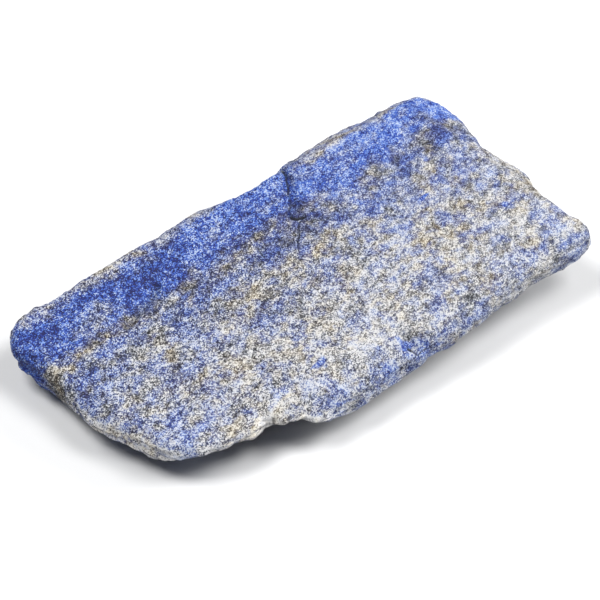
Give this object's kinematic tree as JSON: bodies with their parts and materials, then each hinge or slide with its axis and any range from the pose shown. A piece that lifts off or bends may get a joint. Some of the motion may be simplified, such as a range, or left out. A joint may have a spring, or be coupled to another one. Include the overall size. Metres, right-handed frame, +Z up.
{
  "type": "rough lapis lazuli stone",
  "caption": "Flat rough chunk of banded blue, white and grey lapis rock with worn edges and an undercut rim, resting on a small flat spot.",
  "frame": {"origin": "middle of the bottom of the stone's box, on the surface it rests on", "axes": "+X along the stone's long way, +Y towards the far long side of its top face, +Z up"},
  "size_m": [0.1014, 0.054, 0.0185],
  "materials": {
    "lapis": "matte"
  },
  "bodies": {
    "root": {"lapis_stone": "lapis"}
  },
  "joints": []
}
